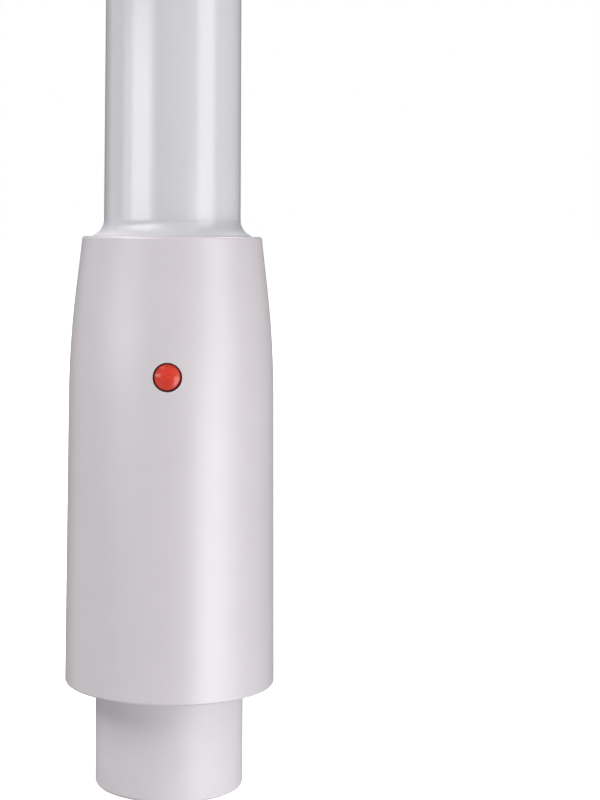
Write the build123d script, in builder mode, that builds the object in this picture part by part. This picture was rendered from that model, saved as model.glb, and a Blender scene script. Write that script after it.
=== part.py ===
"""Removable marine omnidirectional whip antenna, 2.4 m long, for a quick-release base.

A tapered fibreglass whip is bonded over the hollow stem of a plated brass core. A moulded ferrule shell
covers the core, and a white gland collar, whose lower end is the neck, screws into the shell and clamps
the core in it. A stepped spigot on the deck base enters the core from below. A spring pushes a latch
plate into the spigot's groove, and the red button pushes it out again.

Frame: +Z up the whip, the origin at the centre of the neck's end face, the button on the -Y side.
All sizes are millimetres.
"""

import os
from math import radians, tan

from build123d import *

# ---------------- driving dimensions
running_gap = 0.05          # radial or face clearance of parts that slide or slip together

whip_base_diameter = 19.4   # whip where it leaves the ferrule
whip_waist_diameter = 7.6   # whip at the end of its main taper
whip_tip_diameter = 6.8
whip_base_wall = 2.0
whip_waist_wall = 1.3
whip_tip_wall = 1.2
whip_parallel = 4.3         # untapered whip that stands above the ferrule
taper_length = 1358.0       # main taper of the whip

nose_diameter = 10.0        # bore for the nose of the base spigot
socket_step = 3.0           # the bore for the spigot's body is this much larger in radius
socket_depth = 40.0         # neck's end face to the floor of that larger bore
socket_wall = 1.15
nose_chamfer = 0.5

neck_height = 14.8          # neck's end face to the ferrule's lower rim
neck_round = 0.6
collar_wall = 1.4
lip_height = 2.5            # lip of the collar under the core
collar_cover = 2.0          # socket's floor above the collar's top
gland_inset = 1.2           # gland flange sits this far above the ferrule's lower rim
gland_height = 6.0
gland_notch_width = 2.4
gland_notch_depth = 1.5
gland_notches = 4

ferrule_height = 63.7
ferrule_wall = 2.4
ferrule_lip = 3.05          # ferrule's top edge stands this far outside the whip
ferrule_draft = 0.45        # growth in radius from the shoulder to the lower rim
shoulder_drop = 15.2        # ferrule's top edge to its shoulder
shoulder_blend = 140.0      # radius of the arc that softens the shoulder
top_round = 0.45
rim_round = 0.4
rib_count = 6
rib_width = 1.6

core_ledge = 0.6            # core's head stands this far outside the whip
core_step = 0.5             # least step from the core's barrel to its head
latch_room = 1.6            # core's head to the ferrule's cavity wall
stem_length = 52.0
stem_wall = 2.15

button_drop = 19.0          # ferrule's top edge to the button's axis
button_hole_diameter = 4.0
button_gap = 0.18
button_proud = 0.05         # crown of the button outside the ferrule
button_crown = 0.5          # height of the button's crown
button_edge_round = 0.4
button_flange_width = 0.9
button_flange_thickness = 0.8
button_seal_thickness = 0.5
button_travel = 1.2
travel_margin = 0.3
spotface_depth = 0.1

plate_thickness = 3.0
plate_side = 1.7            # steel left beside the plate's hole
plate_rim = 2.4             # steel left before and behind the plate's hole
plate_bite = 0.9            # latch's reach into the nose bore
tongue_width = 5.0
spring_diameter = 2.9
spring_wire = 0.34
spring_length = 4.4
spring_turns = 5
spring_post_diameter = 1.8
spring_post_length = 1.5
cup_wall = 0.5
cup_floor = 0.7
cup_flange_width = 0.85
cup_flange_thickness = 0.7
cup_seat_depth = 0.4

oring_section = 1.8
oring_room = 0.35           # width of the ring's groove beyond its section
oring_undercut = 0.25       # groove's reach into the socket's wall
oring_squeeze = 0.15        # ring's height below the socket's floor

ground_ring_wall = 0.6
ground_ring_bite = 0.15
ground_ring_height = 1.6
ground_ring_slots = 12
ground_ring_slot = 0.5
ground_ring_gap = 0.6       # latch slot to the ground ring's groove
nose_roof_gap = 0.45        # ground ring's groove to the nose bore's end
insulator_ledge = 0.8       # width and height of the ledge under the insulator
insulator_height = 5.0
head_cover = 0.2            # core's head above the insulator's seat

pin_diameter = 2.0
pin_reach = 5.2             # contact pin below the nose bore's end
pin_collar_diameter = 3.4
pin_collar_height = 1.0
pin_cup_height = 4.0
pin_cup_depth = 3.0
circlip_height = 0.9
circlip_width = 1.4
circlip_bite = 0.7          # depth of the ring's groove in the stem
circlip_gap_angle = 50.0

conductor_diameter = 0.8
dielectric_diameter = 1.9
shield_diameter = 2.4
jacket_diameter = 3.0
shield_trim = 1.5           # dielectric bared at the cup
jacket_trim = 1.0           # shield bared beyond the jacket's ends
shield_disc_height = 2.0

former_plug = 8.0
former_flange = 2.5
former_length = 50.0        # from the stem's top to the former's top
coil_wire = 1.2
coil_pitch = 3.0
coil_turns = 13
coil_start = 3.5            # stem's top to the coil's first turn
tap_turn = 1
tap_wire_diameter = 0.8
sleeve_wall = 0.4
sleeve_length = 6.0
rod_socket = 13.0

half_wave = 925.0           # length of each radiating section
lower_rod_diameter = 2.4
upper_rod_diameter = 1.6
phasing_length = 60.0
phasing_wall = 0.7
phasing_collar = 10.0       # length of the thick end of the phasing former
phasing_wire = 0.8
phasing_turns = 10
rod_overlap = 16.0          # rod inside each end of the phasing former
spacer_count = 4
spacer_length = 12.0
spacer_gap = 0.1
bead_length = 8.0
bead_cap = 2.0              # foam beyond the rod's end
tip_space = 360.2           # empty whip above the upper radiator

cap_length = 19.5
cap_wall = 1.25
cap_crown = 8.0             # solid plastic over the whip's end
cap_round = 2.6
cap_stem = 8.0

# ---------------- radii that follow from them
whip_radius = whip_base_diameter / 2
whip_bore_radius = whip_radius - whip_base_wall
waist_radius = whip_waist_diameter / 2
waist_bore_radius = waist_radius - whip_waist_wall
tip_radius = whip_tip_diameter / 2
tip_bore_radius = tip_radius - whip_tip_wall

nose_radius = nose_diameter / 2
socket_radius = nose_radius + socket_step
barrel_radius = socket_radius + socket_wall
collar_bore_radius = barrel_radius + running_gap
neck_radius = collar_bore_radius + collar_wall
head_radius = max(whip_radius + core_ledge, neck_radius - running_gap, barrel_radius + core_step)
stem_radius = whip_bore_radius - running_gap
stem_bore_radius = stem_radius - stem_wall
seat_radius = stem_bore_radius - insulator_ledge
pin_radius = pin_diameter / 2
conductor_radius = conductor_diameter / 2
dielectric_radius = dielectric_diameter / 2
shield_radius = shield_diameter / 2
jacket_radius = jacket_diameter / 2
former_radius = stem_bore_radius - running_gap
coil_radius = former_radius + running_gap + coil_wire / 2
lower_rod_radius = lower_rod_diameter / 2
upper_rod_radius = upper_rod_diameter / 2
phasing_radius = lower_rod_radius + running_gap + phasing_wall
phasing_coil_radius = phasing_radius + running_gap + phasing_wire / 2

cavity_radius = head_radius + latch_room
shoulder_radius = cavity_radius + ferrule_wall
ferrule_top_radius = whip_radius + ferrule_lip
ferrule_rim_radius = shoulder_radius + ferrule_draft
gland_bore_radius = ferrule_rim_radius - ferrule_wall
gland_radius = gland_bore_radius - running_gap

# ---------------- heights that follow from them
ferrule_bottom = neck_height
ferrule_top = ferrule_bottom + ferrule_height
shoulder_height = ferrule_top - shoulder_drop
button_height = ferrule_top - button_drop

slot_half = plate_thickness / 2 + running_gap
slot_top = button_height + slot_half
ground_groove_bottom = slot_top + ground_ring_gap
ground_groove_top = ground_groove_bottom + ground_ring_height + 2 * running_gap
nose_roof = ground_groove_top + nose_roof_gap
insulator_seat = nose_roof + insulator_ledge
insulator_top = insulator_seat + insulator_height
core_top = insulator_seat + head_cover
stem_top = core_top + stem_length
collar_top = socket_depth - collar_cover
oring_groove_top = socket_depth + oring_section - oring_squeeze
cup_top = insulator_top + pin_collar_height + pin_cup_height
disc_top = stem_top - former_plug
disc_bottom = disc_top - shield_disc_height

former_top = stem_top + former_length
coil_bottom = stem_top + coil_start
tap_height = coil_bottom + tap_turn * coil_pitch
lower_rod_bottom = former_top - rod_socket
phasing_bottom = lower_rod_bottom + half_wave - rod_overlap
phasing_top = phasing_bottom + phasing_length
upper_rod_bottom = phasing_top - rod_overlap
upper_rod_top = upper_rod_bottom + half_wave
whip_top = upper_rod_top + tip_space
taper_start = ferrule_top + whip_parallel
taper_end = taper_start + taper_length
bore_taper_start = stem_top + former_flange
total_length = whip_top + cap_crown

# ---------------- places along the button's axis
slope = ferrule_draft / (ferrule_height - shoulder_drop)
face_depth = shoulder_radius + slope * (shoulder_height - button_height)
spotface = face_depth - ferrule_wall + spotface_depth
flange_front = spotface - button_seal_thickness
flange_back = flange_front - button_flange_thickness
pocket_floor = flange_back - button_travel - travel_margin
plate_hole_radius = nose_radius + button_travel - plate_bite
plate_hole_center = -button_travel
plate_back = plate_hole_center + plate_hole_radius + plate_rim
plate_front = plate_hole_center - plate_hole_radius - plate_rim
plate_width = 2 * (plate_hole_radius + plate_side)
slot_back = plate_back + button_travel + travel_margin
spring_seat = plate_back + spring_length
cup_outer_radius = spring_diameter / 2 + cup_wall + running_gap
cup_hole_radius = cup_outer_radius + running_gap
cup_seat = head_radius - cup_seat_depth
flange_radius = button_hole_diameter / 2 + button_flange_width
button_radius = button_hole_diameter / 2 - button_gap

button_plane = Plane(origin=(0, 0, button_height), x_dir=(1, 0, 0), z_dir=(0, -1, 0))
rear_plane = Plane(origin=(0, 0, button_height), x_dir=(-1, 0, 0), z_dir=(0, 1, 0))


def bore_radius_at(z):
    """Inner radius of the whip at a height."""
    if z <= bore_taper_start:
        return whip_bore_radius
    if z <= taper_end:
        share = (z - bore_taper_start) / (taper_end - bore_taper_start)
        return whip_bore_radius + share * (waist_bore_radius - whip_bore_radius)
    share = (z - taper_end) / (whip_top - taper_end)
    return waist_bore_radius + share * (tip_bore_radius - waist_bore_radius)


os.makedirs("parts", exist_ok=True)


def save(builder, name):
    """Labels a finished piece and writes it as its own STEP file."""
    builder.part.label = name
    export_step(builder.part, f"parts/{name}.step")


# ---------------- whip_tube: tapered fibreglass radome
with BuildPart() as whip_tube:
    with BuildSketch(Plane.XZ):
        with BuildLine():
            Polyline(
                (whip_bore_radius, core_top),
                (whip_radius, core_top),
                (whip_radius, taper_start),
                (waist_radius, taper_end),
                (tip_radius, whip_top),
                (tip_bore_radius, whip_top),
                (waist_bore_radius, taper_end),
                (whip_bore_radius, bore_taper_start),
                close=True,
            )
        make_face()
    revolve(axis=Axis.Z)
save(whip_tube, "whip_tube")

# ---------------- tip_cap: moulded cap over the whip's end
cap_bottom = total_length - cap_length
cap_radius = tip_radius + cap_wall
mouth_share = (whip_top - cap_bottom) / (whip_top - taper_end)
cap_mouth_radius = tip_radius + mouth_share * (waist_radius - tip_radius) + running_gap
with BuildPart() as tip_cap:
    with BuildSketch(Plane.XZ):
        with BuildLine():
            Polyline(
                (0, total_length),
                (cap_radius, total_length),
                (cap_radius, cap_bottom),
                (cap_mouth_radius, cap_bottom),
                (tip_radius + running_gap, whip_top),
                (tip_bore_radius - running_gap, whip_top),
                (tip_bore_radius - running_gap, whip_top - cap_stem),
                (0, whip_top - cap_stem),
                close=True,
            )
        make_face()
    revolve(axis=Axis.Z)
    fillet(tip_cap.edges().filter_by(GeomType.CIRCLE).sort_by(Axis.Z)[-1], cap_round)
    fillet(
        tip_cap.edges().filter_by(GeomType.CIRCLE).group_by(Axis.Z)[0].sort_by(SortBy.RADIUS)[-1],
        cap_wall / 3,
    )
save(tip_cap, "tip_cap")

# ---------------- whip_seal: bead of sealant round the whip's foot
seal_sweep = min(2.4, whip_parallel - 1)   # radius of the bead's hollow flank
seal_edge = 0.15                           # thickness of the bead's outer edge
seal_reach = seal_sweep - (seal_sweep**2 - (seal_sweep - seal_edge) ** 2) ** 0.5
with BuildPart() as whip_seal:
    with BuildSketch(Plane.XZ):
        with BuildLine():
            Polyline(
                (whip_radius, ferrule_top + seal_sweep),
                (whip_radius, ferrule_top),
                (whip_radius + seal_reach, ferrule_top),
                (whip_radius + seal_reach, ferrule_top + seal_edge),
            )
            RadiusArc(
                (whip_radius + seal_reach, ferrule_top + seal_edge),
                (whip_radius, ferrule_top + seal_sweep),
                seal_sweep,
            )
        make_face()
    revolve(axis=Axis.Z)
save(whip_seal, "whip_seal")

# ---------------- ferrule_shell: moulded outer shell
cavity_top_radius = ferrule_top_radius + (shoulder_radius - ferrule_top_radius) * (
    ferrule_top - core_top
) / shoulder_drop - ferrule_wall
gland_seat_top = ferrule_bottom + gland_inset + gland_height + running_gap
rib_bottom = gland_seat_top + 1
rib_top = button_height - slot_half - travel_margin
rib_edge_radius = max(head_radius, neck_radius) + 2 * running_gap
with BuildPart() as ferrule_shell:
    with BuildSketch(Plane.XZ):
        with BuildLine():
            FilletPolyline(
                (ferrule_top_radius, ferrule_top),
                (shoulder_radius, shoulder_height),
                (ferrule_rim_radius, ferrule_bottom),
                radius=shoulder_blend,
            )
            Polyline(
                (ferrule_rim_radius, ferrule_bottom),
                (gland_bore_radius, ferrule_bottom),
                (gland_bore_radius, gland_seat_top),
                (cavity_radius, shoulder_height),
                (cavity_top_radius, core_top),
                (whip_radius + running_gap, core_top),
                (whip_radius + running_gap, ferrule_top),
                (ferrule_top_radius, ferrule_top),
            )
        make_face()
    revolve(axis=Axis.Z)
    fillet(
        ferrule_shell.edges().filter_by(GeomType.CIRCLE).group_by(Axis.Z)[-1].sort_by(SortBy.RADIUS)[-1],
        top_round,
    )
    fillet(
        ferrule_shell.edges().filter_by(GeomType.CIRCLE).group_by(Axis.Z)[0].sort_by(SortBy.RADIUS)[-1],
        rim_round,
    )
    with BuildSketch(Plane.XY.offset(rib_bottom)):
        with PolarLocations(0, rib_count):
            with Locations(((rib_edge_radius + cavity_radius) / 2 + ferrule_wall / 4, 0)):
                Rectangle(cavity_radius - rib_edge_radius + ferrule_wall / 2, rib_width)
    extrude(amount=rib_top - rib_bottom)
    with BuildSketch(button_plane):
        Circle(button_hole_diameter / 2)
    extrude(amount=face_depth + 1, mode=Mode.SUBTRACT)
    with BuildSketch(button_plane):
        Circle(flange_radius + travel_margin)
    extrude(amount=spotface, mode=Mode.SUBTRACT)
save(ferrule_shell, "ferrule_shell")

# ---------------- neck_collar: gland whose lower end is the neck
gland_bottom = ferrule_bottom + gland_inset
with BuildPart() as neck_collar:
    with BuildSketch(Plane.XZ):
        with BuildLine():
            Polyline(
                (socket_radius, 0),
                (neck_radius, 0),
                (neck_radius, gland_bottom),
                (gland_radius, gland_bottom),
                (gland_radius, gland_bottom + gland_height),
                (neck_radius, gland_bottom + gland_height),
                (neck_radius, collar_top),
                (collar_bore_radius, collar_top),
                (collar_bore_radius, lip_height),
                (socket_radius, lip_height),
                close=True,
            )
        make_face()
    revolve(axis=Axis.Z)
    fillet(
        neck_collar.edges().filter_by(GeomType.CIRCLE).group_by(Axis.Z)[0].sort_by(SortBy.RADIUS)[-1],
        neck_round,
    )
    with BuildSketch(Plane.XY.offset(gland_bottom)):
        with PolarLocations(0, gland_notches, start_angle=45):
            with Locations((gland_radius, 0)):
                Rectangle(2 * (gland_radius - neck_radius) - 1, gland_notch_width)
    extrude(amount=gland_notch_depth, mode=Mode.SUBTRACT)
save(neck_collar, "neck_collar")

# ---------------- socket_core: plated brass core with its stem
oring_outer_radius = socket_radius + oring_undercut
oring_inner_radius = oring_outer_radius - oring_section - oring_room
ground_seat_radius = nose_radius + ground_ring_wall
with BuildPart() as socket_core:
    with BuildSketch(Plane.XZ):
        with BuildLine():
            Polyline(
                (socket_radius, lip_height),
                (barrel_radius, lip_height),
                (barrel_radius, collar_top),
                (head_radius, collar_top),
                (head_radius, core_top),
                (stem_radius, core_top),
                (stem_radius, stem_top),
                (stem_bore_radius, stem_top),
                (stem_bore_radius, insulator_seat),
                (seat_radius, insulator_seat),
                (seat_radius, nose_roof),
                (nose_radius, nose_roof),
                (nose_radius, ground_groove_top),
                (ground_seat_radius, ground_groove_top),
                (ground_seat_radius, ground_groove_bottom),
                (nose_radius, ground_groove_bottom),
                (nose_radius, socket_depth + nose_chamfer),
                (nose_radius + nose_chamfer, socket_depth),
                (oring_inner_radius, socket_depth),
                (oring_inner_radius, oring_groove_top),
                (oring_outer_radius, oring_groove_top),
                (oring_outer_radius, socket_depth),
                (socket_radius, socket_depth),
                close=True,
            )
        make_face()
    revolve(axis=Axis.Z)
    with BuildSketch(Plane.XY.offset(button_height)):
        with Locations((0, (slot_back - head_radius - 1) / 2)):
            Rectangle(plate_width + 2 * running_gap, slot_back + head_radius + 1)
    extrude(amount=slot_half, both=True, mode=Mode.SUBTRACT)
    with BuildSketch(rear_plane):
        Circle(cup_hole_radius)
    extrude(amount=head_radius + 1, mode=Mode.SUBTRACT)
    with BuildSketch(rear_plane.offset(cup_seat)):
        Circle(cup_outer_radius + cup_flange_width + running_gap)
    extrude(amount=head_radius, mode=Mode.SUBTRACT)
    with BuildSketch(button_plane.offset(pocket_floor)):
        Circle(flange_radius + travel_margin)
    extrude(amount=head_radius, mode=Mode.SUBTRACT)
    with BuildSketch(Plane.XZ):
        with Locations((stem_bore_radius, insulator_top + circlip_height / 2)):
            Rectangle(2 * circlip_bite, circlip_height)
    revolve(axis=Axis.Z, mode=Mode.SUBTRACT)
save(socket_core, "socket_core")

# ---------------- socket_oring: face seal on the socket's floor
with BuildPart() as socket_oring:
    with BuildSketch(Plane.XZ):
        with Locations(
            ((oring_inner_radius + oring_outer_radius) / 2, oring_groove_top - oring_section / 2)
        ):
            Circle(oring_section / 2)
    revolve(axis=Axis.Z)
save(socket_oring, "socket_oring")

# ---------------- ground_ring: slotted spring contact
ground_inner_radius = nose_radius - ground_ring_bite
ground_outer_radius = ground_seat_radius - running_gap
with BuildPart() as ground_ring:
    with BuildSketch(Plane.XY.offset(ground_groove_bottom)):
        Circle(ground_outer_radius)
        Circle(ground_inner_radius, mode=Mode.SUBTRACT)
    extrude(amount=ground_ring_height)
    with BuildSketch(Plane.XY.offset(ground_groove_bottom)):
        with PolarLocations(0, ground_ring_slots):
            with Locations(((ground_inner_radius + ground_outer_radius) / 2, 0)):
                Rectangle(2 * ground_ring_wall, ground_ring_slot)
    extrude(amount=ground_ring_height * 2 / 3, mode=Mode.SUBTRACT)
save(ground_ring, "ground_ring")

# ---------------- contact_insulator: turned PTFE bush
with BuildPart() as contact_insulator:
    with BuildSketch(Plane.XY.offset(nose_roof)):
        Circle(seat_radius - running_gap)
    extrude(amount=insulator_ledge)
    with BuildSketch(Plane.XY.offset(insulator_seat)):
        Circle(stem_bore_radius - running_gap)
    extrude(amount=insulator_height)
    with BuildSketch(Plane.XY.offset(nose_roof)):
        Circle(pin_radius + running_gap)
    extrude(amount=insulator_top - nose_roof, mode=Mode.SUBTRACT)
save(contact_insulator, "contact_insulator")

# ---------------- centre_contact: gold-plated pin
pin_bottom = nose_roof - pin_reach
with BuildPart() as centre_contact:
    with BuildSketch(Plane.XY.offset(pin_bottom)):
        Circle(pin_radius)
    extrude(amount=cup_top - pin_bottom)
    with BuildSketch(Plane.XY.offset(insulator_top)):
        Circle(pin_collar_diameter / 2)
    extrude(amount=pin_collar_height)
    fillet(centre_contact.edges().filter_by(GeomType.CIRCLE).sort_by(Axis.Z)[0], pin_radius * 0.6)
    with BuildSketch(Plane.XY.offset(cup_top)):
        Circle(conductor_radius + running_gap)
    extrude(amount=-pin_cup_depth, mode=Mode.SUBTRACT)
save(centre_contact, "centre_contact")

# ---------------- insulator_circlip: snap ring over the insulator
circlip_outer_radius = stem_bore_radius + circlip_bite - running_gap
circlip_inner_radius = circlip_outer_radius - circlip_width
circlip_gap_width = 2 * circlip_inner_radius * tan(radians(circlip_gap_angle / 2))
with BuildPart() as insulator_circlip:
    with BuildSketch(Plane.XY.offset(insulator_top)):
        Circle(circlip_outer_radius)
        Circle(circlip_inner_radius, mode=Mode.SUBTRACT)
        with Locations((circlip_outer_radius, 0)):
            Rectangle(2 * circlip_outer_radius, circlip_gap_width, mode=Mode.SUBTRACT)
    extrude(amount=circlip_height)
save(insulator_circlip, "insulator_circlip")

# ---------------- coaxial lead inside the stem
jacket_bottom = cup_top + shield_trim + jacket_trim
jacket_top = disc_bottom - jacket_trim
with BuildPart() as feed_conductor:
    with BuildSketch(Plane.XY.offset(cup_top - pin_cup_depth)):
        Circle(conductor_radius)
    extrude(amount=tap_height + tap_wire_diameter / 2 - cup_top + pin_cup_depth)
save(feed_conductor, "feed_conductor")

with BuildPart() as feed_dielectric:
    with BuildSketch(Plane.XY.offset(cup_top)):
        Circle(dielectric_radius)
        Circle(conductor_radius + running_gap, mode=Mode.SUBTRACT)
    extrude(amount=tap_height - tap_wire_diameter / 2 - running_gap - cup_top)
save(feed_dielectric, "feed_dielectric")

with BuildPart() as feed_shield:
    with BuildSketch(Plane.XY.offset(cup_top + shield_trim)):
        Circle(shield_radius)
        Circle(dielectric_radius + running_gap, mode=Mode.SUBTRACT)
    extrude(amount=disc_top - cup_top - shield_trim)
save(feed_shield, "feed_shield")

with BuildPart() as feed_jacket:
    with BuildSketch(Plane.XY.offset(jacket_bottom)):
        Circle(jacket_radius)
        Circle(shield_radius + running_gap, mode=Mode.SUBTRACT)
    extrude(amount=jacket_top - jacket_bottom)
save(feed_jacket, "feed_jacket")

# ---------------- shield_disc: joins the lead's shield to the stem
with BuildPart() as shield_disc:
    with BuildSketch(Plane.XY.offset(disc_bottom)):
        Circle(stem_bore_radius - running_gap)
        Circle(shield_radius + running_gap, mode=Mode.SUBTRACT)
    extrude(amount=shield_disc_height)
save(shield_disc, "shield_disc")

# ---------------- coil_former: turned acetal former
with BuildPart() as coil_former:
    with BuildSketch(Plane.XY.offset(disc_top)):
        Circle(former_radius)
    extrude(amount=former_top - disc_top)
    with BuildSketch(Plane.XY.offset(stem_top)):
        Circle(stem_radius)
    extrude(amount=former_flange)
    with BuildSketch(Plane.XY.offset(disc_top)):
        Circle(dielectric_radius + running_gap)
    extrude(amount=tap_height + tap_wire_diameter - disc_top, mode=Mode.SUBTRACT)
    with BuildSketch(Plane.XY.offset(lower_rod_bottom)):
        Circle(lower_rod_radius + running_gap)
    extrude(amount=rod_socket, mode=Mode.SUBTRACT)
    with BuildSketch(Plane.YZ):
        with Locations((0, tap_height)):
            Circle(tap_wire_diameter / 2 + running_gap)
    extrude(amount=former_radius + 1, mode=Mode.SUBTRACT)
save(coil_former, "coil_former")

# ---------------- matching_coil: enamelled copper, 13 turns
with BuildPart() as matching_coil:
    with BuildLine() as coil_line:
        Helix(coil_pitch, coil_turns * coil_pitch, coil_radius, center=(0, 0, coil_bottom))
    with BuildSketch(Plane(origin=coil_line.line @ 0, z_dir=coil_line.line % 0)):
        Circle(coil_wire / 2)
    sweep(is_frenet=True)
save(matching_coil, "matching_coil")

# ---------------- tap_wire: from the lead to the coil's tap
with BuildPart() as tap_wire:
    with BuildSketch(Plane.YZ.offset(conductor_radius)):
        with Locations((0, tap_height)):
            Circle(tap_wire_diameter / 2)
    extrude(amount=coil_radius - coil_wire / 2 - conductor_radius)
save(tap_wire, "tap_wire")

# ---------------- radiating rods
with BuildPart() as lower_radiator:
    with BuildSketch(Plane.XY.offset(lower_rod_bottom)):
        Circle(lower_rod_radius)
    extrude(amount=half_wave)
save(lower_radiator, "lower_radiator")

with BuildPart() as upper_radiator:
    with BuildSketch(Plane.XY.offset(upper_rod_bottom)):
        Circle(upper_rod_radius)
    extrude(amount=half_wave)
save(upper_radiator, "upper_radiator")

# ---------------- phasing_former and its coil
collar_radius = bore_radius_at(phasing_top) - spacer_gap
with BuildPart() as phasing_former:
    with BuildSketch(Plane.XY.offset(phasing_bottom)):
        Circle(phasing_radius)
    extrude(amount=phasing_length)
    for z in (phasing_bottom, phasing_top - phasing_collar):
        with BuildSketch(Plane.XY.offset(z)):
            Circle(collar_radius)
        extrude(amount=phasing_collar)
    with BuildSketch(Plane.XY.offset(phasing_bottom)):
        Circle(lower_rod_radius + running_gap)
    extrude(amount=rod_overlap, mode=Mode.SUBTRACT)
    with BuildSketch(Plane.XY.offset(phasing_top)):
        Circle(upper_rod_radius + running_gap)
    extrude(amount=-rod_overlap, mode=Mode.SUBTRACT)
save(phasing_former, "phasing_former")

winding_length = phasing_length - 2 * phasing_collar - 2 * phasing_wire
with BuildPart() as phasing_coil:
    with BuildLine() as phasing_line:
        Helix(
            winding_length / phasing_turns,
            winding_length,
            phasing_coil_radius,
            center=(0, 0, phasing_bottom + phasing_collar + phasing_wire),
        )
    with BuildSketch(Plane(origin=phasing_line.line @ 0, z_dir=phasing_line.line % 0)):
        Circle(phasing_wire / 2)
    sweep(is_frenet=True)
save(phasing_coil, "phasing_coil")

# ---------------- rod_sleeves: brass sleeves crimped on the rods
with BuildPart() as rod_sleeves:
    for z, rod_radius in (
        (former_top, lower_rod_radius),
        (phasing_bottom - sleeve_length, lower_rod_radius),
        (phasing_top, upper_rod_radius),
    ):
        with BuildSketch(Plane.XY.offset(z)):
            Circle(rod_radius + running_gap + sleeve_wall)
            Circle(rod_radius + running_gap, mode=Mode.SUBTRACT)
        extrude(amount=sleeve_length)
save(rod_sleeves, "rod_sleeves")

# ---------------- rod_spacers: foam that keeps the rods central
with BuildPart() as rod_spacers:
    for bottom, top, rod_radius in (
        (former_top + sleeve_length, phasing_bottom - sleeve_length, lower_rod_radius),
        (phasing_top + sleeve_length, upper_rod_top - bead_length, upper_rod_radius),
    ):
        for number in range(1, spacer_count + 1):
            z = bottom + (top - bottom) * number / (spacer_count + 1)
            with BuildSketch(Plane.XY.offset(z)):
                Circle(bore_radius_at(z + spacer_length) - spacer_gap)
                Circle(rod_radius + running_gap, mode=Mode.SUBTRACT)
            extrude(amount=spacer_length)
save(rod_spacers, "rod_spacers")

# ---------------- tip_bead: foam bead on the upper rod's end
bead_bottom = upper_rod_top + bead_cap - bead_length
with BuildPart() as tip_bead:
    with BuildSketch(Plane.XY.offset(bead_bottom)):
        Circle(bore_radius_at(bead_bottom + bead_length) - spacer_gap)
    extrude(amount=bead_length)
    with BuildSketch(Plane.XY.offset(bead_bottom)):
        Circle(upper_rod_radius + running_gap)
    extrude(amount=bead_length - bead_cap, mode=Mode.SUBTRACT)
save(tip_bead, "tip_bead")

# ---------------- release_button: red moulded button
crown_start = face_depth + button_proud - button_crown
crown_radius = (button_radius**2 + button_crown**2) / (2 * button_crown)
with BuildPart() as release_button:
    with BuildSketch(button_plane.offset(flange_back)):
        Circle(flange_radius)
    extrude(amount=button_flange_thickness)
    with BuildSketch(Plane.YZ):
        with BuildLine():
            Polyline(
                (-crown_start - button_crown, button_height),
                (-flange_back, button_height),
                (-flange_back, button_height + button_radius),
                (-crown_start, button_height + button_radius),
            )
            RadiusArc(
                (-crown_start, button_height + button_radius),
                (-crown_start - button_crown, button_height),
                -crown_radius,
            )
        make_face()
    revolve(axis=Axis((0, 0, button_height), (0, -1, 0)))
    stem_edges = release_button.edges().filter_by(
        lambda edge: edge.geom_type == GeomType.CIRCLE and edge.radius < button_radius + running_gap
    )
    fillet(stem_edges.sort_by(Axis.Y)[0], button_edge_round)
save(release_button, "release_button")

# ---------------- button_seal: rubber washer on the button's stem
with BuildPart() as button_seal:
    with BuildSketch(button_plane.offset(flange_front)):
        Circle(flange_radius)
        Circle(button_radius + running_gap, mode=Mode.SUBTRACT)
    extrude(amount=button_seal_thickness)
save(button_seal, "button_seal")

# ---------------- latch_plate: stainless plate with an offset hole
tongue_front = -(flange_back - running_gap)
with BuildPart() as latch_plate:
    with BuildSketch(Plane.XY.offset(button_height)):
        with Locations((0, (plate_back + plate_front) / 2)):
            Rectangle(plate_width, plate_back - plate_front)
        Circle(head_radius - running_gap, mode=Mode.INTERSECT)
        with Locations((0, (plate_hole_center - plate_hole_radius + tongue_front) / 2)):
            Rectangle(tongue_width, plate_hole_center - plate_hole_radius - tongue_front)
        with Locations((0, plate_hole_center)):
            Circle(plate_hole_radius, mode=Mode.SUBTRACT)
    extrude(amount=plate_thickness / 2, both=True)
    with BuildSketch(rear_plane.offset(plate_back)):
        Circle(spring_post_diameter / 2)
    extrude(amount=spring_post_length)
save(latch_plate, "latch_plate")

# ---------------- latch_spring: music-wire compression spring
spring_radius = (spring_diameter - spring_wire) / 2
spring_travel = spring_length - spring_wire
with BuildPart() as latch_spring:
    with BuildLine() as spring_line:
        Helix(
            spring_travel / spring_turns,
            spring_travel,
            spring_radius,
            center=(0, plate_back + spring_wire / 2, button_height),
            direction=(0, 1, 0),
        )
    with BuildSketch(Plane(origin=spring_line.line @ 0, z_dir=spring_line.line % 0)):
        Circle(spring_wire / 2)
    sweep(is_frenet=True)
save(latch_spring, "latch_spring")

# ---------------- spring_cup: pressed cup that closes the pocket
with BuildPart() as spring_cup:
    with BuildSketch(rear_plane.offset(cup_seat)):
        Circle(cup_outer_radius + cup_flange_width)
    extrude(amount=cup_flange_thickness)
    with BuildSketch(rear_plane.offset(cup_seat)):
        Circle(cup_outer_radius)
    extrude(amount=spring_seat + cup_floor - cup_seat)
    with BuildSketch(rear_plane.offset(cup_seat)):
        Circle(cup_outer_radius - cup_wall)
    extrude(amount=spring_seat - cup_seat, mode=Mode.SUBTRACT)
save(spring_cup, "spring_cup")
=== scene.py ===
from math import cos, pi, radians, sin, tan

import bmesh
import bpy
from mathutils import Matrix, Vector, noise


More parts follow.
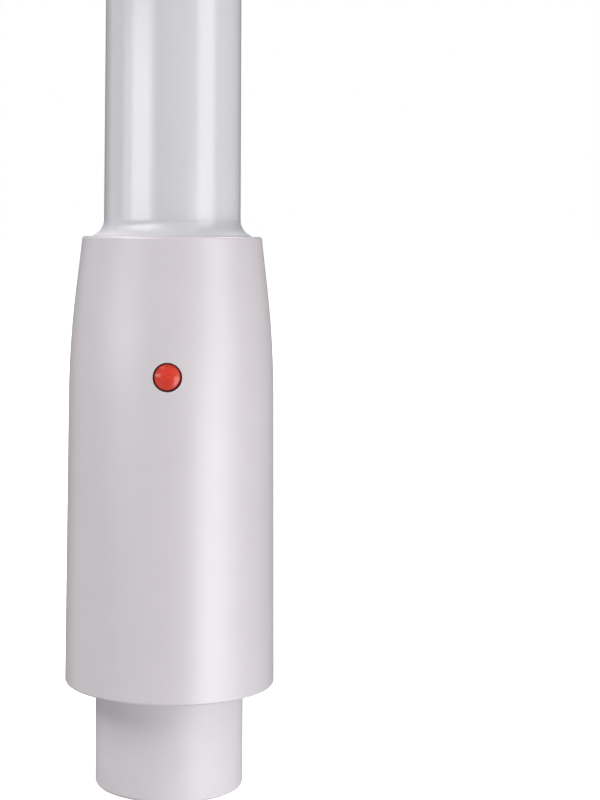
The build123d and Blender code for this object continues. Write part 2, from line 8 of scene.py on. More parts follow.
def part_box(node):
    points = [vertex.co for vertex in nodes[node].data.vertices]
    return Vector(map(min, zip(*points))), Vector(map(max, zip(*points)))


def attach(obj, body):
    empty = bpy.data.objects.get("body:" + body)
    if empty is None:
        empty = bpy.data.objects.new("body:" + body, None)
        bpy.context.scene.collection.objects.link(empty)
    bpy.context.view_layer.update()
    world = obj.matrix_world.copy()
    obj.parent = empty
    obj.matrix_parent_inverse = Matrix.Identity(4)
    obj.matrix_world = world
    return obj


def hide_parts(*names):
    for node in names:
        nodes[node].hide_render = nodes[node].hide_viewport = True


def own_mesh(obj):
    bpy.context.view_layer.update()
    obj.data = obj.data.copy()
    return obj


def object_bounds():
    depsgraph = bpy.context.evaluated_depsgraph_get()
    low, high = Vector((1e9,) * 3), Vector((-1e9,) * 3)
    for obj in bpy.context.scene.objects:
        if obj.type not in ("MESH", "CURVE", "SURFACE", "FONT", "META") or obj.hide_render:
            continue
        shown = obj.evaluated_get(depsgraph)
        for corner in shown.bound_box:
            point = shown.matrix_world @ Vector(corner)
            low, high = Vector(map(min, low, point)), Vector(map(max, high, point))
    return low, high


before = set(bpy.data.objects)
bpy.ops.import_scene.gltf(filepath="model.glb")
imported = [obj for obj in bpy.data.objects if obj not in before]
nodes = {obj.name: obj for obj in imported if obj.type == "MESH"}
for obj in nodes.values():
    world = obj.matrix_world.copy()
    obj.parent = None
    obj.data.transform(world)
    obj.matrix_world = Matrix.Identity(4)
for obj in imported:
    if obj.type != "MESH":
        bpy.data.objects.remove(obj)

MM = 0.001
cad_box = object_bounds()


# ---- Socket core ------------------------------------------------------------------------------
# The antenna's backbone: a stepped socket and a hollow stem, turned in one piece from brass bar
# and nickel plated. Everything else is pushed into it, bonded over it or held against it.
def linear(colour):
    """The linear RGBA of an sRGB hex colour."""
    channels = [int(colour[i : i + 2], 16) / 255 for i in (1, 3, 5)]
    return [c / 12.92 if c <= 0.04045 else ((c + 0.055) / 1.055) ** 2.4 for c in channels] + [1]


def add(tree, kind, inputs, **settings):
    """Adds a shader node, makes its settings, and fills or links its inputs."""
    made = tree.nodes.new(kind)
    for name, value in settings.items():
        setattr(made, name, value)
    for socket, value in inputs.items():
        if isinstance(value, bpy.types.NodeSocket):
            tree.links.new(value, made.inputs[socket])
        else:
            made.inputs[socket].default_value = value
    return made


def surface(name, **sockets):
    """A material with a Principled surface. Socket names are given with underscores for spaces."""
    material = bpy.data.materials.new(name)
    material.use_nodes = True
    tree = material.node_tree
    tree.nodes.clear()
    plain = {socket.replace("_", " "): value for socket, value in sockets.items()}
    shader = add(tree, "ShaderNodeBsdfPrincipled", plain)
    add(tree, "ShaderNodeOutputMaterial", {"Surface": shader.outputs["BSDF"]})
    return material, tree, shader


def mottle(tree, size, stretch=(1, 1, 1), detail=2):
    """Soft noise with features of a size in metres. A stretch under 1 draws it out along an axis."""
    place = add(tree, "ShaderNodeTexCoord", {})
    spread = add(tree, "ShaderNodeMapping", {"Vector": place.outputs["Object"], "Scale": stretch})
    grain = add(
        tree,
        "ShaderNodeTexNoise",
        {"Vector": spread.outputs["Vector"], "Scale": 1 / size, "Detail": detail},
    )
    return grain.outputs["Fac"]


def tint(tree, shader, by, dark, light, low=0.3, high=0.7):
    """Varies the base colour between two hex colours."""
    ramp = add(tree, "ShaderNodeValToRGB", {"Fac": by})
    ramp.color_ramp.elements[0].position = low
    ramp.color_ramp.elements[0].color = linear(dark)
    ramp.color_ramp.elements[1].position = high
    ramp.color_ramp.elements[1].color = linear(light)
    tree.links.new(ramp.outputs["Color"], shader.inputs["Base Color"])


def polish(tree, shader, by, least, most):
    """Varies the roughness between two values."""
    spread = add(tree, "ShaderNodeMapRange", {"Value": by, "To Min": least, "To Max": most})
    tree.links.new(spread.outputs["Result"], shader.inputs["Roughness"])


def relief(tree, shader, by, depth):
    """Raises the surface by a pattern, whose full height is a depth in metres."""
    bump = add(tree, "ShaderNodeBump", {"Height": by, "Distance": depth, "Strength": 1.0})
    tree.links.new(bump.outputs["Normal"], shader.inputs["Normal"])


def cover(material, *names):
    """Gives a finish to every material slot of some CAD pieces."""
    for name in names:
        slots = nodes[name].data.materials
        for index in range(len(slots)):
            slots[index] = material


# Bright nickel over turned brass: warm grey, with the tool's fine rings round the axis. The feed
# was about 0.1 mm a turn, drawn here at 0.4 mm so that it shows.
nickel, tree, shader = surface("nickel_plate_on_turned_brass", Metallic=1.0)
tint(tree, shader, mottle(tree, 6 * MM), "#C3BEB3", "#CCC7BC")
polish(tree, shader, mottle(tree, 3 * MM), 0.22, 0.28)
relief(tree, shader, mottle(tree, 0.4 * MM, stretch=(0.02, 0.02, 1), detail=0), 0.003 * MM)
cover(nickel, "socket_core")


# ---- Rubber seals -----------------------------------------------------------------------------
# The O-ring on the socket's floor and the washer on the button's stem: moulded black nitrile,
# dusty matt, with a faint skin from the mould.
nitrile, tree, shader = surface("nitrile_rubber_black", IOR=1.52)
tint(tree, shader, mottle(tree, 1.5 * MM), "#161617", "#232324")
polish(tree, shader, mottle(tree, 0.8 * MM), 0.5, 0.68)
relief(tree, shader, mottle(tree, 0.2 * MM), 0.004 * MM)
cover(nitrile, "socket_oring", "button_seal")


# ---- Contacts ---------------------------------------------------------------------------------
# The slotted ring that grips the spigot's nose and the pin on the axis, both turned from beryllium
# copper and gold plated.
gold, tree, shader = surface("hard_gold_plate", Metallic=1.0)
tint(tree, shader, mottle(tree, 1.2 * MM), "#D9B565", "#E8C97E")
polish(tree, shader, mottle(tree, 0.7 * MM, stretch=(1, 1, 3)), 0.16, 0.28)
relief(tree, shader, mottle(tree, 0.25 * MM, stretch=(0.05, 0.05, 1), detail=0), 0.002 * MM)
cover(gold, "ground_ring", "centre_contact")


# ---- Contact insulator and its circlip --------------------------------------------------------
# A washer of turned PTFE, waxy and slightly see-through, that carries the pin. A snap ring bent
# from stainless strip holds it against its ledge.
ptfe, tree, shader = surface("ptfe_turned", IOR=1.36, Subsurface_Weight=0.25, Subsurface_Scale=1.0 * MM)
shader.inputs["Subsurface Radius"].default_value = (1.0, 0.95, 0.85)
tint(tree, shader, mottle(tree, 2.5 * MM), "#ECECE8", "#F4F4F1")
polish(tree, shader, mottle(tree, 1.0 * MM), 0.42, 0.55)
relief(tree, shader, mottle(tree, 0.3 * MM, stretch=(0.02, 0.02, 1), detail=0), 0.004 * MM)
cover(ptfe, "contact_insulator", "feed_dielectric")

# Stainless strip and sheet as pressed: a dull silver with a fine grain along the rolling.
stainless, tree, shader = surface("stainless_steel_pressed", Metallic=1.0)
tint(tree, shader, mottle(tree, 3 * MM), "#A9A8A5", "#BAB9B6")
polish(tree, shader, mottle(tree, 0.8 * MM, stretch=(0.1, 1, 1)), 0.26, 0.38)
relief(tree, shader, mottle(tree, 0.15 * MM, stretch=(0.05, 1, 1), detail=1), 0.003 * MM)
cover(stainless, "insulator_circlip", "latch_plate", "spring_cup")


# ---- Feed lead --------------------------------------------------------------------------------
# A short miniature coaxial lead in the stem: a tinned copper core soldered into the pin, PTFE, a
# braid of tinned copper soldered to the shield disc, and a black extruded jacket.
BRAID_ENDS = 16
BRAID_LAY = 9 * MM

# Bare tinned wire: a soft silver, with faint streaks along it from the drawing.
tinned, tree, shader = surface("tinned_copper_wire", Metallic=1.0)
tint(tree, shader, mottle(tree, 1.5 * MM), "#BEBCB7", "#D0CEC9")
polish(tree, shader, mottle(tree, 0.5 * MM, stretch=(1, 1, 0.2)), 0.28, 0.42)
cover(tinned, "feed_conductor", "tap_wire")

# The braid's two sets of strands wind in opposite ways, each a sine of the angle round the axis
# and the height. Where the two agree the strands stand proud; between them the colour is darkened as
# painted shade.
braid, tree, shader = surface("tinned_copper_braid", Metallic=1.0, Roughness=0.38)
place = add(tree, "ShaderNodeTexCoord", {})
axes = add(tree, "ShaderNodeSeparateXYZ", {"Vector": place.outputs["Object"]})
angle = add(tree, "ShaderNodeMath", {0: axes.outputs["Y"], 1: axes.outputs["X"]}, operation="ARCTAN2")
around = add(tree, "ShaderNodeMath", {0: angle.outputs[0], 1: BRAID_ENDS / 2}, operation="MULTIPLY")
climb = BRAID_ENDS * pi / BRAID_LAY
upwards = add(tree, "ShaderNodeMath", {0: axes.outputs["Z"], 1: climb}, operation="MULTIPLY")
waves = []
for sense in ("ADD", "SUBTRACT"):
    helix = add(tree, "ShaderNodeMath", {0: around.outputs[0], 1: upwards.outputs[0]}, operation=sense)
    waves.append(add(tree, "ShaderNodeMath", {0: helix.outputs[0]}, operation="SINE"))
weave = add(tree, "ShaderNodeMath", {0: waves[0].outputs[0], 1: waves[1].outputs[0]}, operation="MULTIPLY")
strand_rise_and_shade = add(tree, "ShaderNodeMapRange", {"Value": weave.outputs[0], "From Min": -1.0})
# Painted shade: the base colour goes dark in the dips between the strands and light on their crowns.
tint(tree, shader, strand_rise_and_shade.outputs["Result"], "#6F6C67", "#CBC8C2", low=0.1, high=0.6)
relief(tree, shader, strand_rise_and_shade.outputs["Result"], 0.06 * MM)
cover(braid, "feed_shield")

# The jacket is extruded black PVC, a little waxy, with a slight ripple along it.
jacket, tree, shader = surface("pvc_jacket_black", IOR=1.54)
tint(tree, shader, mottle(tree, 2 * MM), "#1B1B1D", "#262628")
polish(tree, shader, mottle(tree, 0.8 * MM), 0.38, 0.5)
relief(tree, shader, mottle(tree, 0.5 * MM, stretch=(1, 1, 0.3)), 0.008 * MM)
cover(jacket, "feed_jacket")

# The disc is brass left as it came off the lathe, a little tarnished by the soldering.
brass, tree, shader = surface("brass_turned", Metallic=1.0)
tint(tree, shader, mottle(tree, 3 * MM), "#B08D4A", "#CBA964")
polish(tree, shader, mottle(tree, 1 * MM), 0.24, 0.38)
relief(tree, shader, mottle(tree, 0.3 * MM, stretch=(1, 1, 0.1)), 0.003 * MM)
cover(brass, "shield_disc")


# ---- Matching coil ----------------------------------------------------------------------------
# Thirteen turns of enamelled copper on a turned acetal former, tapped near the foot. The former
# plugs into the stem and carries the lower rod.

# Natural acetal: creamy and faintly see-through, with the lathe's fine rings round it.
acetal, tree, shader = surface(
    "acetal_natural_turned", IOR=1.48, Subsurface_Weight=0.15, Subsurface_Scale=0.8 * MM
)
shader.inputs["Subsurface Radius"].default_value = (1.0, 0.9, 0.75)
tint(tree, shader, mottle(tree, 5 * MM), "#E3DFD2", "#ECE9DE")
polish(tree, shader, mottle(tree, 1.2 * MM), 0.36, 0.46)
relief(tree, shader, mottle(tree, 0.4 * MM, stretch=(0.02, 0.02, 1), detail=0), 0.004 * MM)
cover(acetal, "coil_former", "phasing_former")

# The enamel is a clear amber varnish over bright copper.
enamel, tree, shader = surface(
    "enamelled_copper_wire", Metallic=1.0, Coat_Weight=1.0, Coat_Roughness=0.08, Coat_IOR=1.55
)
tint(tree, shader, mottle(tree, 2 * MM), "#9C4A22", "#B65E2E")
polish(tree, shader, mottle(tree, 0.8 * MM), 0.2, 0.32)
cover(enamel, "matching_coil", "phasing_coil")


# ---- Radiating rods ---------------------------------------------------------------------------
# Two half-wave rods of hard drawn brass, the upper one thinner, with their ends chamfered so that
# they enter the formers. Drawing leaves long fine lines down them.
ROD_CHAMFER = 0.25 * MM
ROD_SIDES = 48
SHARP_ANGLE = radians(35)
WELD = 0.0001 * MM


def finished(name, shape):
    """Turns a bmesh into an object of the scene, smooth but for its sharp edges."""
    mesh = bpy.data.meshes.new(name)
    shape.to_mesh(mesh)
    shape.free()
    mesh.shade_smooth()
    mesh.set_sharp_from_angle(angle=SHARP_ANGLE)
    piece = bpy.data.objects.new(name, mesh)
    bpy.context.scene.collection.objects.link(piece)
    return piece


def spun(shape, outline, steps):
    """Adds a closed solid of revolution about the Z axis, from its (radius, height) outline."""
    corners = [shape.verts.new((radius, 0, height)) for radius, height in outline]
    edges = [shape.edges.new(pair) for pair in zip(corners, corners[1:] + corners[:1])]
    bmesh.ops.spin(
        shape,
        geom=corners + edges,
        cent=(0, 0, 0),
        axis=(0, 0, 1),
        dvec=(0, 0, 0),
        angle=2 * pi,
        steps=steps,
        use_merge=True,
    )
    bmesh.ops.remove_doubles(shape, verts=shape.verts, dist=WELD)
    bmesh.ops.recalc_face_normals(shape, faces=shape.faces)


def stands_for(piece, material, name):
    """Finishes a piece, and lets it stand for a CAD piece and ride on the antenna."""
    piece.data.materials.append(material)
    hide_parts(name)
    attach(piece, "antenna")


# Hard drawn brass, with fine lines down it from the die.
drawn_brass, tree, shader = surface("brass_hard_drawn", Metallic=1.0)
tint(tree, shader, mottle(tree, 20 * MM), "#B8924A", "#CDA95F")
polish(tree, shader, mottle(tree, 0.4 * MM, stretch=(1, 1, 0.02)), 0.22, 0.36)
relief(tree, shader, mottle(tree, 0.2 * MM, stretch=(1, 1, 0.01), detail=1), 0.003 * MM)

for name in ("lower_radiator", "upper_radiator"):
    low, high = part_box(name)
    rod = bmesh.new()
    spun(
        rod,
        [
            (0, low.z),
            (high.x - ROD_CHAMFER, low.z),
            (high.x, low.z + ROD_CHAMFER),
            (high.x, high.z - ROD_CHAMFER),
            (high.x - ROD_CHAMFER, high.z),
            (0, high.z),
        ],
        steps=ROD_SIDES,
    )
    stands_for(finished(f"{name}_rod", rod), drawn_brass, name)


# ---- Rod sleeves ------------------------------------------------------------------------------
# Three short brass sleeves that bind the rods to the formers, each crimped by a four-jaw tool that
# left two rows of dimples.
SLEEVE_WALL = 0.4 * MM
SLEEVE_GAP = 0.05 * MM
SLEEVE_LENGTH = 6 * MM
CRIMP_ROWS = (1.8 * MM, 4.2 * MM)
CRIMP_LENGTH = 1.4 * MM
CRIMP_DEPTH = 0.12 * MM
SLEEVE_RINGS = 24


def joined(whole, part):
    """Moves the shape of one bmesh into another."""
    carrier = bpy.data.meshes.new("carrier")
    part.to_mesh(carrier)
    part.free()
    whole.from_mesh(carrier)
    bpy.data.meshes.remove(carrier)


lower_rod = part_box("lower_radiator")[1].x
upper_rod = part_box("upper_radiator")[1].x
phasing_low, phasing_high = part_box("phasing_former")
sleeves = bmesh.new()
for foot, rod_radius in (
    (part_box("coil_former")[1].z, lower_rod),
    (phasing_low.z - SLEEVE_LENGTH, lower_rod),
    (phasing_high.z, upper_rod),
):
    inner = rod_radius + SLEEVE_GAP
    outer = inner + SLEEVE_WALL
    rings = [(outer, foot + SLEEVE_LENGTH * ring / SLEEVE_RINGS) for ring in range(SLEEVE_RINGS + 1)]
    sleeve = bmesh.new()
    spun(sleeve, [(inner, foot)] + rings + [(inner, foot + SLEEVE_LENGTH)], steps=ROD_SIDES)
    for corner in sleeve.verts:
        outwards = Vector((corner.co.x, corner.co.y, 0))
        if outwards.length < outer - SLEEVE_WALL / 2:
            continue
        away = min(abs(corner.co.z - foot - row) for row in CRIMP_ROWS) / (CRIMP_LENGTH / 2)
        jaw = max(0, 2 * abs(outwards.normalized().x * outwards.normalized().y)) ** 2
        if away < 1:
            corner.co -= outwards.normalized() * CRIMP_DEPTH * jaw * (1 - away**2) ** 2
    joined(sleeves, sleeve)
stands_for(finished("crimped_sleeves", sleeves), brass, "rod_sleeves")


# ---- Rod spacers and tip bead -----------------------------------------------------------------
# Plugs of grey closed-cell foam, punched from sheet and threaded on the rods so that they don't
# rattle in the whip. The last one covers the upper rod's end.
SPACER_COUNT = 4
SPACER_LENGTH = 12 * MM
SPACER_GAP = 0.1 * MM
FOAM_SOFTENING = 0.5 * MM
FOAM_SINK = 0.25 * MM
QUARTER = [pi / 2 * step / 4 for step in range(5)]      # a quarter turn in four steps

# The foam fits the whip's bore, so the whip's sizes are needed here.
WHIP_BASE_WALL = 2.0 * MM
WHIP_WAIST_RADIUS = 3.8 * MM
WHIP_WAIST_WALL = 1.3 * MM
WHIP_TIP_RADIUS = 3.4 * MM
WHIP_TIP_WALL = 1.2 * MM
WHIP_PARALLEL = 4.3 * MM
WHIP_TAPER = 1358 * MM
BORE_PARALLEL = 2.5 * MM         # bore that stays parallel above the core's stem

whip_low, whip_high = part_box("whip_tube")
ferrule_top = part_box("ferrule_shell")[1].z
taper_start = ferrule_top + WHIP_PARALLEL
taper_end = taper_start + WHIP_TAPER
bore_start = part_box("socket_core")[1].z + BORE_PARALLEL
base_bore = whip_high.x - WHIP_BASE_WALL
waist_bore = WHIP_WAIST_RADIUS - WHIP_WAIST_WALL
tip_bore = WHIP_TIP_RADIUS - WHIP_TIP_WALL


def bore_at(height):
    """The inner radius of the whip at a height above its parallel foot."""
    if height <= taper_end:
        return base_bore + (waist_bore - base_bore) * (height - bore_start) / (taper_end - bore_start)
    return waist_bore + (tip_bore - waist_bore) * (height - taper_end) / (whip_high.z - taper_end)


def foam_plug(shape, foot, length, hole, depth):
    """Adds a plug with soft edges and slightly sunk ends. The hole for the rod is a depth long."""
    top = foot + length
    outer = bore_at(top) - SPACER_GAP
    soft = FOAM_SOFTENING
    outline = [(hole, foot + FOAM_SINK)]
    outline += [(outer - soft * (1 - sin(turn)), foot + soft * (1 - cos(turn))) for turn in QUARTER]
    outline += [(outer - soft * (1 - cos(turn)), top - soft * (1 - sin(turn))) for turn in QUARTER]
    if depth >= length:
        outline += [(hole, top - FOAM_SINK)]
    else:
        outline += [(0, top), (0, foot + depth), (hole, foot + depth)]
    plug = bmesh.new()
    spun(plug, outline, steps=ROD_SIDES)
    joined(shape, plug)


bead_low, bead_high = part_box("tip_bead")
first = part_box("coil_former")[1].z + SLEEVE_LENGTH
second = phasing_high.z + SLEEVE_LENGTH
rod_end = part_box("upper_radiator")[1].z
plugs = bmesh.new()
for foot, top, rod_radius in (
    (first, phasing_low.z - SLEEVE_LENGTH, lower_rod),
    (second, rod_end - (bead_high.z - bead_low.z), upper_rod),
):
    for number in range(1, SPACER_COUNT + 1):
        place = foot + (top - foot) * number / (SPACER_COUNT + 1)
        foam_plug(plugs, place, SPACER_LENGTH, rod_radius + SLEEVE_GAP, SPACER_LENGTH)

# Closed-cell polyethylene foam: mid grey and matt, with cells about 0.6 mm across. Each cell's
# hollow is painted darker, as painted shade, on top of the cells' relief.
FOAM_CELL = 0.6 * MM
foam, tree, shader = surface("polyethylene_foam_grey", IOR=1.5)
place = add(tree, "ShaderNodeTexCoord", {})
cells_and_hollow_shade = add(tree, "ShaderNodeTexVoronoi", {"Vector": place.outputs["Object"], "Scale": 1 / FOAM_CELL})
# Painted shade: the colour darkens towards each cell's centre, where the relief is lowest.
tint(tree, shader, cells_and_hollow_shade.outputs["Distance"], "#595A5D", "#8D8E91", low=0.1, high=0.8)
polish(tree, shader, mottle(tree, 1 * MM), 0.82, 0.95)
relief(tree, shader, cells_and_hollow_shade.outputs["Distance"], 0.12 * MM)
stands_for(finished("foam_spacers", plugs), foam, "rod_spacers")

end_plug = bmesh.new()
foam_plug(end_plug, bead_low.z, bead_high.z - bead_low.z, upper_rod + SLEEVE_GAP, rod_end - bead_low.z)
stands_for(finished("foam_end_bead", end_plug), foam, "tip_bead")


# ---- Whip -------------------------------------------------------------------------------------
# The radome: glass fibre wound on a tapered mandrel and finished in white marine gelcoat. It is
# bonded over the core's stem.
WHIP_SIDES = 128

whip_shape = bmesh.new()
spun(
    whip_shape,
    [
        (base_bore, whip_low.z),
        (whip_high.x, whip_low.z),
        (whip_high.x, taper_start),
        (WHIP_WAIST_RADIUS, taper_end),
        (WHIP_TIP_RADIUS, whip_high.z),
        (tip_bore, whip_high.z),
        (waist_bore, taper_end),
        (base_bore, bore_start),
    ],
    steps=WHIP_SIDES,
)

# White gelcoat, polished and waxed: a deep gloss over a faint orange peel about 5 mm across, with
# a chalkier patch here and there. The wax is the coat.
gelcoat, tree, shader = surface(
    "gelcoat_white_waxed", IOR=1.55, Coat_Weight=1.0, Coat_IOR=1.5, Coat_Roughness=0.18
)
tint(tree, shader, mottle(tree, 30 * MM), "#D3D2D8", "#D8D7DC")
polish(tree, shader, mottle(tree, 12 * MM), 0.18, 0.22)
relief(tree, shader, mottle(tree, 5 * MM, stretch=(1, 1, 0.3)), 0.006 * MM)
stands_for(finished("whip", whip_shape), gelcoat, "whip_tube")


# ---- Tip cap ----------------------------------------------------------------------------------
# A small cap, pushed and bonded over the whip's upper end to keep water out. It is moulded in
# white polyamide, with a satin skin.
cap_plastic, tree, shader = surface("polyamide_white_moulded", IOR=1.53)
tint(tree, shader, mottle(tree, 3 * MM), "#D0CFD3", "#D7D6DA")
polish(tree, shader, mottle(tree, 1.5 * MM), 0.30, 0.38)
relief(tree, shader, mottle(tree, 0.4 * MM), 0.004 * MM)
cover(cap_plastic, "tip_cap")


# ---- Latch ------------------------------------------------------------------------------------
# A stainless plate with an offset hole slides across the core's socket. A spring of stainless wire
# pushes it into the spigot's groove, and the pressed cup behind holds the spring.
SPRING_WIRE = 0.34 * MM
SPRING_MEAN = 1.28 * MM         # radius from the spring's axis to the wire's
SPRING_SEAT = 10.9 * MM         # the cup's floor, measured from the antenna's axis
SPRING_LENGTH = 4.4 * MM
CLOSED_PITCH = 0.37 * MM        # climb of the one closed turn at each end
SPRING_ACTIVE = 3.5             # open turns between them
TURN_STEPS = 40
WIRE_SIDES = 12

button_low, button_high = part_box("release_button")
button_axis = (button_low.z + button_high.z) / 2
front = SPRING_SEAT - SPRING_LENGTH + SPRING_WIRE / 2
active_pitch = (SPRING_LENGTH - SPRING_WIRE - 2 * CLOSED_PITCH) / SPRING_ACTIVE
coil = bmesh.new()
wire_place = Matrix.Translation((SPRING_MEAN, front, button_axis))
start = bmesh.ops.create_circle(coil, segments=WIRE_SIDES, radius=SPRING_WIRE / 2, matrix=wire_place)
ring = start["verts"] + list(coil.edges)
for turns, pitch in ((1, CLOSED_PITCH), (SPRING_ACTIVE, active_pitch), (1, CLOSED_PITCH)):
    swept = bmesh.ops.spin(
        coil,
        geom=ring,
        cent=(0, 0, button_axis),
        axis=(0, 1, 0),
        dvec=(0, pitch / TURN_STEPS, 0),
        angle=2 * pi * turns,
        steps=round(TURN_STEPS * turns),
        use_merge=False,
    )
    ring = swept["geom_last"]
bmesh.ops.holes_fill(coil, edges=coil.edges, sides=0)
bmesh.ops.recalc_face_normals(coil, faces=coil.faces)
spring = finished("latch_coil_spring", coil)

# Stainless spring wire, smoother than the pressed sheet.
wire, tree, shader = surface("stainless_spring_wire", Metallic=1.0)
tint(tree, shader, mottle(tree, 1.2 * MM), "#A3A3A1", "#B9B9B7")
polish(tree, shader, mottle(tree, 0.4 * MM), 0.2, 0.32)
stands_for(spring, wire, "latch_spring")
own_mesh(spring)


# ---- Ferrule shell ----------------------------------------------------------------------------
# The moulded outer shell, in a weather-proof white ASA. The tool was spark-eroded to a fine satin,
# so the shell takes a broad soft highlight instead of a reflection.
shell_plastic, tree, shader = surface(
    "asa_white_satin", IOR=1.55, Coat_Weight=1.0, Coat_IOR=1.5, Coat_Roughness=0.36
)
tint(tree, shader, mottle(tree, 9 * MM), "#D5CFD3", "#D8D2D6")
polish(tree, shader, mottle(tree, 2 * MM), 0.34, 0.38)
relief(tree, shader, mottle(tree, 0.3 * MM, detail=3), 0.003 * MM)
cover(shell_plastic, "ferrule_shell")


# ---- Release button ---------------------------------------------------------------------------
# The push button, moulded in red polycarbonate: glossy, with its crown just above the shell. It is
# put in from the inside, on its rubber washer.
button_plastic, tree, shader = surface("polycarbonate_red_gloss", IOR=1.58)
tint(tree, shader, mottle(tree, 0.8 * MM), "#D43A2A", "#DD4330")
polish(tree, shader, mottle(tree, 0.6 * MM), 0.16, 0.24)
relief(tree, shader, mottle(tree, 0.5 * MM), 0.002 * MM)
cover(button_plastic, "release_button")


# ---- Neck collar ------------------------------------------------------------------------------
# The gland collar, screwed into the shell from below to hold the core in it. It is turned from
# white acetal, a waxy white with the lathe's feed marks running round it.
neck_plastic, tree, shader = surface(
    "acetal_white_turned", IOR=1.52, Coat_Weight=1.0, Coat_IOR=1.45, Coat_Roughness=0.5
)
tint(tree, shader, mottle(tree, 6 * MM), "#D4CFD4", "#D8D3D8")
polish(tree, shader, mottle(tree, 1.5 * MM), 0.50, 0.56)
relief(tree, shader, mottle(tree, 1.6 * MM, stretch=(0.05, 0.05, 5)), 0.004 * MM)
cover(neck_plastic, "neck_collar")


# ---- Sealant bead -----------------------------------------------------------------------------
# White polyurethane sealant, laid round the whip's foot and drawn to a hollow fillet with a wet
# finger, so its edge wanders a little.
BEAD_RISE = 12                  # steps up the fillet
BEAD_WANDER = 0.08 * MM
BEAD_WAVES = 2.5

seal_low, seal_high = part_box("whip_seal")
sweep = seal_high.z - seal_low.z
width = seal_high.x - whip_high.x
fillet = []
for step in range(BEAD_RISE + 1):
    turn = pi / 2 * step / BEAD_RISE
    reach = min(sweep * (1 - sin(turn)), width)
    fillet.append((whip_high.x + reach, seal_low.z + sweep * (1 - cos(turn))))
bead = bmesh.new()
spun(bead, [(whip_high.x, seal_low.z)] + fillet, steps=WHIP_SIDES)
for corner in bead.verts:
    outwards = Vector((corner.co.x, corner.co.y, 0))
    stand = (outwards.length - whip_high.x) / width
    sway = noise.noise(outwards.normalized() * BEAD_WAVES) * BEAD_WANDER
    corner.co += outwards.normalized() * sway * stand

# The sealant is as glossy as the gelcoat at its feathered upper edge, and duller towards the shell.
# Its coat follows that too. Blender's GLB export leaves a linked coat roughness out, and glTF then
# takes 0, so the coat is fully smooth there.
sealant, tree, shader = surface(
    "polyurethane_sealant_white", IOR=1.55, Coat_Weight=1.0, Coat_IOR=1.5
)
tint(tree, shader, mottle(tree, 2 * MM), "#CFCED4", "#D4D3D8")
place = add(tree, "ShaderNodeTexCoord", {})
split = add(tree, "ShaderNodeSeparateXYZ", {"Vector": place.outputs["Object"]})
rise = add(
    tree,
    "ShaderNodeMapRange",
    {"Value": split.outputs["Z"], "From Min": seal_low.z, "From Max": seal_high.z},
)
polish(tree, shader, rise.outputs["Result"], 0.62, 0.20)
tree.links.new(shader.inputs["Roughness"].links[0].from_socket, shader.inputs["Coat Roughness"])
relief(tree, shader, mottle(tree, 1.4 * MM, stretch=(1, 1, 3)), 0.008 * MM)
stands_for(finished("sealant_bead", bead), sealant, "whip_seal")


# ---- Studio -----------------------------------------------------------------------------------
# A white floor and backdrop, soft lights round the antenna, and a camera level with the ferrule's
# upper edge, close enough to show the ferrule, the neck and the foot of the whip.
EYE_DISTANCE = 257 * MM
EYE_SIDE = radians(2.15)        # how far the camera is round to the right of the button
EYE_DROP = radians(2.65)        # how far it looks down
EYE_ROLL = radians(0.36)
LENS = 81.2
SHIFT_ACROSS = 0.1604           # leaves the antenna in the picture's left half
SHIFT_UP = -0.10
LIGHT_DISTANCE = 1.4
FLOOR_REACH = 30
FLOOR_GAP = 0.1 * MM
SURROUND = 0.16                 # light from all around, as seen by the surfaces

floor_shape = bmesh.new()
bmesh.ops.create_grid(floor_shape, x_segments=1, y_segments=1, size=FLOOR_REACH)
bmesh.ops.translate(floor_shape, verts=floor_shape.verts, vec=(0, 0, cad_box[0].z - FLOOR_GAP))
floor = finished("floor", floor_shape)

# Matt white paint, lit from within so that the floor is as white as the backdrop. Nothing but the
# camera sees it.
floor_paint, tree, shader = surface("floor_paint_white", Roughness=0.9)
shader.inputs["Base Color"].default_value = linear("#F6F6F7")
shader.inputs["Emission Color"].default_value = linear("#FFFFFF")
shader.inputs["Emission Strength"].default_value = 1.0
floor.data.materials.append(floor_paint)
floor.visible_diffuse = False
floor.visible_glossy = False
floor.visible_shadow = False

world = bpy.data.worlds.new("studio")
bpy.context.scene.world = world
world.use_nodes = True
sky = world.node_tree
sky.nodes.clear()
backdrop = add(sky, "ShaderNodeBackground", {"Color": linear("#FFFFFF"), "Strength": 1.0})
surround = add(sky, "ShaderNodeBackground", {"Color": linear("#FFFFFF"), "Strength": SURROUND})
path = add(sky, "ShaderNodeLightPath", {})
seen = add(
    sky,
    "ShaderNodeMixShader",
    {
        0: path.outputs["Is Camera Ray"],
        1: surround.outputs["Background"],
        2: backdrop.outputs["Background"],
    },
)
add(sky, "ShaderNodeOutputWorld", {"Surface": seen.outputs["Shader"]})


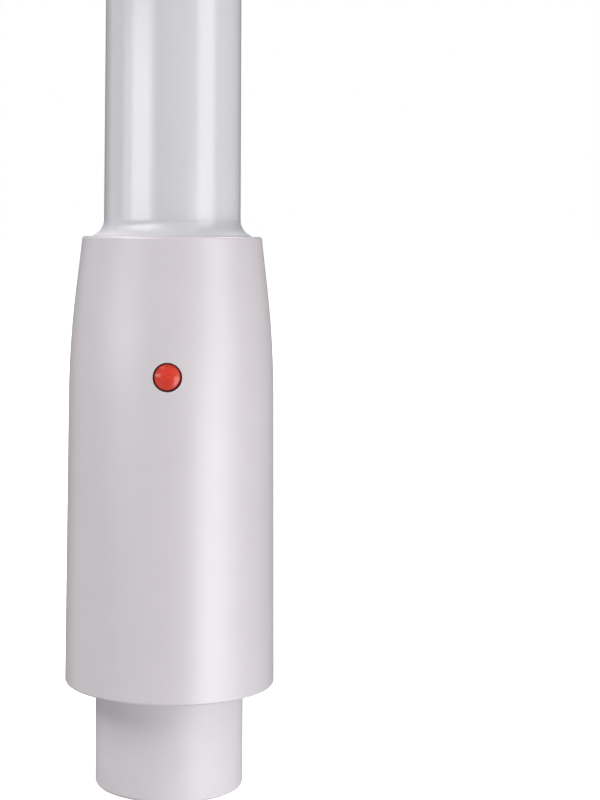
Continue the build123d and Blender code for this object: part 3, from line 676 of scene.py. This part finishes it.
def softbox(name, azimuth, brightness, spread, low, high):
    """An upright light that faces the antenna's axis, from one height in metres to another.

    Its azimuth in degrees is 0 in front and 90 at +X. Its width is a spread in degrees.
    """
    lamp = bpy.data.lights.new(name, "AREA")
    lamp.shape = "RECTANGLE"
    lamp.size = 2 * LIGHT_DISTANCE * tan(radians(spread / 2))
    lamp.size_y = high - low
    lamp.energy = brightness * pi * lamp.size * lamp.size_y
    light = bpy.data.objects.new(name, lamp)
    bpy.context.scene.collection.objects.link(light)
    turn = radians(azimuth)
    light.location = (LIGHT_DISTANCE * sin(turn), -LIGHT_DISTANCE * cos(turn), (low + high) / 2)
    light.rotation_euler = (radians(90), 0, turn)


# A wide light and a narrower one within it have edges that fade together. On the left such a pair
# is a short band beside the ferrule and the whip's foot, with a strong light high over it and weak
# ones round it. On the right the pair runs down from the ferrule, and one light runs up from there.
# The rear light is high, so that the outline stays dark.
softbox("left_wide", -58, 1.7, 60, 0.03, 0.32)
softbox("left_core", -53, 2.1, 34, 0.03, 0.32)
softbox("left_high", -60, 5.0, 70, 1.2, 3.2)
softbox("left_low", -60, 0.3, 80, -2.2, -0.3)
softbox("left_fill", -108, 0.35, 40, -2.2, 3.2)
softbox("right_high", 60, 2.0, 32, 0.06, 3.2)
softbox("right_wide", 53, 1.2, 54, -2.2, 0.06)
softbox("right_core", 47, 2.3, 32, -2.2, 0.06)
softbox("right_fill", 98, 1.2, 46, -2.2, -0.45)
softbox("rear", 180, 4.5, 80, 1.4, 3.2)

lens = bpy.data.cameras.new("camera")
lens.lens = LENS
lens.sensor_width = 36
lens.shift_x = SHIFT_ACROSS
lens.shift_y = SHIFT_UP
lens.clip_start = 10 * MM
lens.clip_end = 100
camera = bpy.data.objects.new("camera", lens)
bpy.context.scene.collection.objects.link(camera)
camera.matrix_world = (
    Matrix.Translation((EYE_DISTANCE * sin(EYE_SIDE), -EYE_DISTANCE * cos(EYE_SIDE), ferrule_top))
    @ Matrix.Rotation(EYE_SIDE, 4, "Z")
    @ Matrix.Rotation(radians(90) - EYE_DROP, 4, "X")
    @ Matrix.Rotation(EYE_ROLL, 4, "Z")
)
bpy.context.scene.camera = camera
bpy.context.scene.view_settings.view_transform = "Standard"
